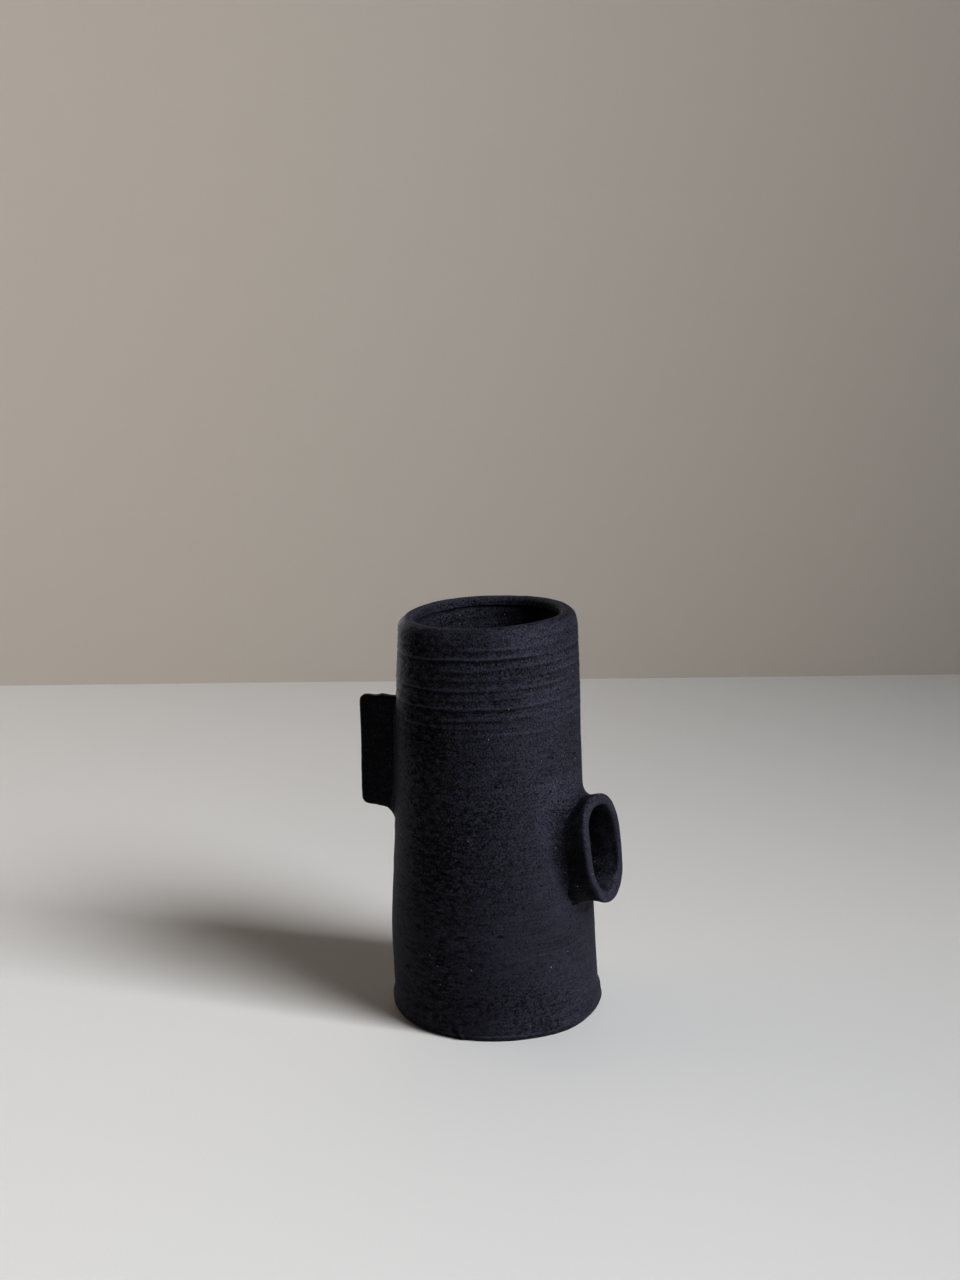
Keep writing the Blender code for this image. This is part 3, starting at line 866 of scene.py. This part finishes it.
def clay(name, tone, polish, grit):
    """Fired blue-black clay with a few pale specks of grog.

    tone scales its colour, polish lowers its roughness, and grit is the depth of its grain in mm.
    """
    n = Nodes(name)
    place = n.place()
    blotch = n.noise(place, 34, 3)
    coarse = n.noise(n.stretched(place, (760, 760, 1600)), 1.0, 4, 0.7)
    grain = n.noise(place, 1250, 2, 0.6)
    wiped = n.noise(n.stretched(place, (60, 60, 900)), 1.0, 2)
    height = n.add("ShaderNodeSeparateXYZ", Vector=place).outputs["Z"]
    proud, torn = n.mark("proud"), n.mark("torn")
    contrast = n.maths("ADD", n.spread(height, 0.04, 0.11, 0.8, 2.4), torn)
    limit = n.maths("ADD", 0.33, n.maths("MULTIPLY", torn, 0.11))
    whole = n.maths("DIVIDE", n.maths("SUBTRACT", coarse, limit), 0.10, clamp=True)

    # How far the colour is lifted from dark to light: each value counts from its middle, by its weight.
    # proud brings painted shade in the hollows, painted light on the ridges, and the painted light and shade
    # of mark_body.
    # torn skin is drawn darker: partly the clay's own tone, partly painted shade of its rough surface
    lift = n.maths("SUBTRACT", 0.43, n.maths("MULTIPLY", torn, 0.17))
    for value, middle, weight in (
        (proud, 0.5, 0.85),
        (blotch, 0.5, 0.48),
        (grain, 0.5, contrast),
        (wiped, 0.5, 0.45),
        (whole, 0.85, n.maths("ADD", 0.25, n.maths("MULTIPLY", torn, 1.1))),
    ):
        part = n.maths("MULTIPLY", n.maths("SUBTRACT", value, middle), weight)
        lift = n.maths("ADD", lift, part)
    lift = n.maths("MINIMUM", n.maths("MAXIMUM", lift, 0.0), 1.0)
    dark = (*(tone * c for c in CLAY_DARK), 1)
    light = (*(tone * c for c in CLAY_LIGHT), 1)
    colour = n.mix(lift, dark, light)

    # Specks of grog: about half of the cells have a small pale middle, and few middles meet the surface
    cells = n.add("ShaderNodeTexVoronoi", Vector=place, Scale=190.0)
    close = n.spread(cells.outputs["Distance"], 0.032, 0.052, 1.0, 0.0)
    chance = n.add("ShaderNodeSeparateColor", Color=cells.outputs["Color"]).outputs[0]
    picked = n.spread(chance, 0.450, 0.453)
    speck = n.maths("MULTIPLY", close, picked)
    colour = n.mix(speck, colour, SPECK_COLOUR)
    n.put(n.shader, "Base Color", colour)

    rough = n.maths("ADD", n.maths("MULTIPLY", torn, 0.16), n.maths("MULTIPLY", grain, 0.22))
    rough = n.maths("ADD", rough, n.maths("MULTIPLY", blotch, 0.12))
    rough = n.maths("ADD", rough, 0.36 - polish, clamp=True)
    n.put(n.shader, "Roughness", rough)
    n.put(n.shader, "Specular IOR Level", 0.09)

    flaked = n.maths("MULTIPLY", whole, n.maths("ADD", n.maths("MULTIPLY", torn, 1.3), 0.12))
    rise = n.maths("ADD", flaked, grain)
    bump = n.add("ShaderNodeBump", Strength=1.0, Distance=grit * MM, Height=rise)
    n.put(n.shader, "Normal", bump.outputs["Normal"])
    return n.material


def plain(name, colour, variation, roughness):
    """A plain painted surface, in a colour that darkens here and there by its variation."""
    n = Nodes(name)
    place = n.place()
    tint = n.noise(place, 2.2, 3)
    darker = tuple(c * (1 - variation) for c in colour) + (1,)
    n.put(n.shader, "Base Color", n.mix(tint, darker, (*colour, 1)))
    n.put(n.shader, "Roughness", roughness)
    n.put(n.shader, "Specular IOR Level", 0.25)
    bump = n.add("ShaderNodeBump", Strength=0.15, Distance=0.2 * MM, Height=n.noise(place, 900, 2))
    n.put(n.shader, "Normal", bump.outputs["Normal"])
    return n.material


# ---------------------------------------------------------------- stage


def make_stage():
    """A pale floor and a plain wall behind it."""
    half, tall = 3, 2.4
    left = (-half, BACKDROP_Y + half * BACKDROP_SLANT)
    right = (half, BACKDROP_Y - half * BACKDROP_SLANT)
    floor = flat_sheet("floor", [(-half, -half, 0), (half, -half, 0), (*right, 0), (*left, 0)])
    backdrop = flat_sheet("backdrop", [(*left, 0), (*right, 0), (*right, tall), (*left, tall)])
    floor.data.materials.append(plain("pale_floor", FLOOR_COLOUR, variation=0.02, roughness=0.55))
    backdrop.data.materials.append(plain("plain_wall", BACKDROP_COLOUR, variation=0.02, roughness=0.8))


def flat_sheet(name, corners):
    """One flat four-cornered sheet."""
    mesh = bpy.data.meshes.new(name)
    mesh.from_pydata(corners, [], [(0, 1, 2, 3)])
    obj = bpy.data.objects.new(name, mesh)
    bpy.context.scene.collection.objects.link(obj)
    return obj


def make_light(name, azimuth, elevation, distance, size, power, colour, spread=180, aim=(0, 0, 0.1)):
    """A soft light seen from the vase at an azimuth and elevation, which faces a point."""
    data = bpy.data.lights.new(name, "AREA")
    data.spread = math.radians(spread)
    data.shape = "RECTANGLE"
    data.size, data.size_y = size
    data.energy = power
    data.color = colour
    light = bpy.data.objects.new(name, data)
    a, e = math.radians(azimuth), math.radians(elevation)
    out = Vector((math.cos(a) * math.cos(e), math.sin(a) * math.cos(e), math.sin(e)))
    light.location = Vector((0, 0, HEIGHT / 2)) + out * distance
    back = light.location - Vector(aim)
    light.rotation_euler = back.to_track_quat("Z", "Y").to_euler()
    bpy.context.scene.collection.objects.link(light)
    return light


def make_lights(pieces):
    """A broad cool window at the front right, a weak warm fill from the left, and a dim room.

    A weak light behind keeps the vase's back from going black. It falls on the pieces of the vase alone,
    so it gives the floor no second shadow.
    """
    make_light(
        "window",
        azimuth=-39,
        elevation=38,
        distance=2.8,
        size=(1.35, 1.5),
        power=37.5,
        colour=COOL_LIGHT,
        spread=76,
        aim=(-1.95, 0.1, 0),
    )
    make_light(
        "fill",
        azimuth=158,
        elevation=30,
        distance=1.3,
        size=(1.0, 1.0),
        power=2.5,
        colour=WARM_LIGHT,
    )
    behind = make_light(
        "behind",
        azimuth=118,
        elevation=8,
        distance=0.7,
        size=(0.4, 0.3),
        power=2.0,
        colour=COOL_LIGHT,
    )
    behind.visible_camera = False
    lit = bpy.data.collections.new("lit_from_behind")
    for piece in pieces:
        lit.objects.link(piece)
    behind.light_linking.receiver_collection = lit
    world = bpy.data.worlds.new("room")
    world.use_nodes = True
    background = world.node_tree.nodes["Background"]
    background.inputs["Color"].default_value = (0.97, 0.96, 0.96, 1)
    background.inputs["Strength"].default_value = 0.026
    bpy.context.scene.world = world


def make_camera():
    """The camera, a little above the rim and looking down on it."""
    data = bpy.data.cameras.new("camera")
    data.lens = CAMERA_LENS
    camera = bpy.data.objects.new("camera", data)
    tilt = Matrix.Rotation(math.pi / 2 - CAMERA_PITCH, 4, "X")
    roll = Matrix.Rotation(-CAMERA_ROLL, 4, "Z")
    camera.matrix_world = Matrix.Translation(CAMERA_PLACE) @ tilt @ roll
    bpy.context.scene.collection.objects.link(camera)
    bpy.context.scene.camera = camera


# ---------------------------------------------------------------- the whole


def dress(obj, material, node):
    """Gives a piece its material and says which node it stands for."""
    obj.data.materials.clear()
    obj.data.materials.append(material)
    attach(obj, "root")
    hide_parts(node)


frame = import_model()

SKIN, TORN, PROUD = make_skin()
CLOUD_A = cloud(31, 5, 6, 2, (128, 256))
CLOUD_B = cloud(32, 30, 44, 2, (384, 512))
CLOUD_C = cloud(33, 16, 26, 3, (256, 384), keep=0.65)

spout_frame = radial_frame(SPOUT_AZIMUTH, SPOUT_RISE, SPOUT_REACH, SPOUT_HEIGHT)
fin_frame = radial_frame(FIN_AZIMUTH, 0, 0, (FIN_TOP + FIN_ROOT_LOW) / 2)

wall = make_wall()
pierce(wall, spout_frame)
mark_body(wall)
base = make_base()
mark_body(base)
spout = make_spout(spout_frame)
spout_coil = make_coil(
    "spout_smear",
    spout_frame,
    SPOUT_OVAL,
    reach=(0.0060, 0.0170, 0.0055),
    rise=(0.0050, 0.0090, 0.0045),
    side=spout_side,
    dark=0.95,
)
fin = make_fin()
fin_coil = make_coil(
    "fin_smear",
    fin_frame,
    FIN_OVAL,
    reach=(0.0036, 0.0014, 0.0085),
    rise=(0.0030, 0.0012, 0.0060),
    side=fin_side,
    dark=0.0,
)

thrown = clay("thrown_clay", tone=1.0, polish=0.0, grit=0.55)
slab = clay("slab_clay", tone=0.95, polish=0.0, grit=0.45)
smeared = clay("coil_clay", tone=1.15, polish=0.02, grit=0.40)
dress(wall, thrown, "vase_wall")
dress(base, slab, "base_disc")
dress(spout, slab, "side_spout")
dress(spout_coil, smeared, "spout_join_coil")
dress(fin, slab, "side_fin")
dress(fin_coil, smeared, "fin_join_coil")

make_stage()
make_lights((wall, base, spout, spout_coil, fin, fin_coil))
make_camera()
bpy.context.scene.view_settings.view_transform = "Standard"
bpy.context.scene.view_settings.gamma = 0.8
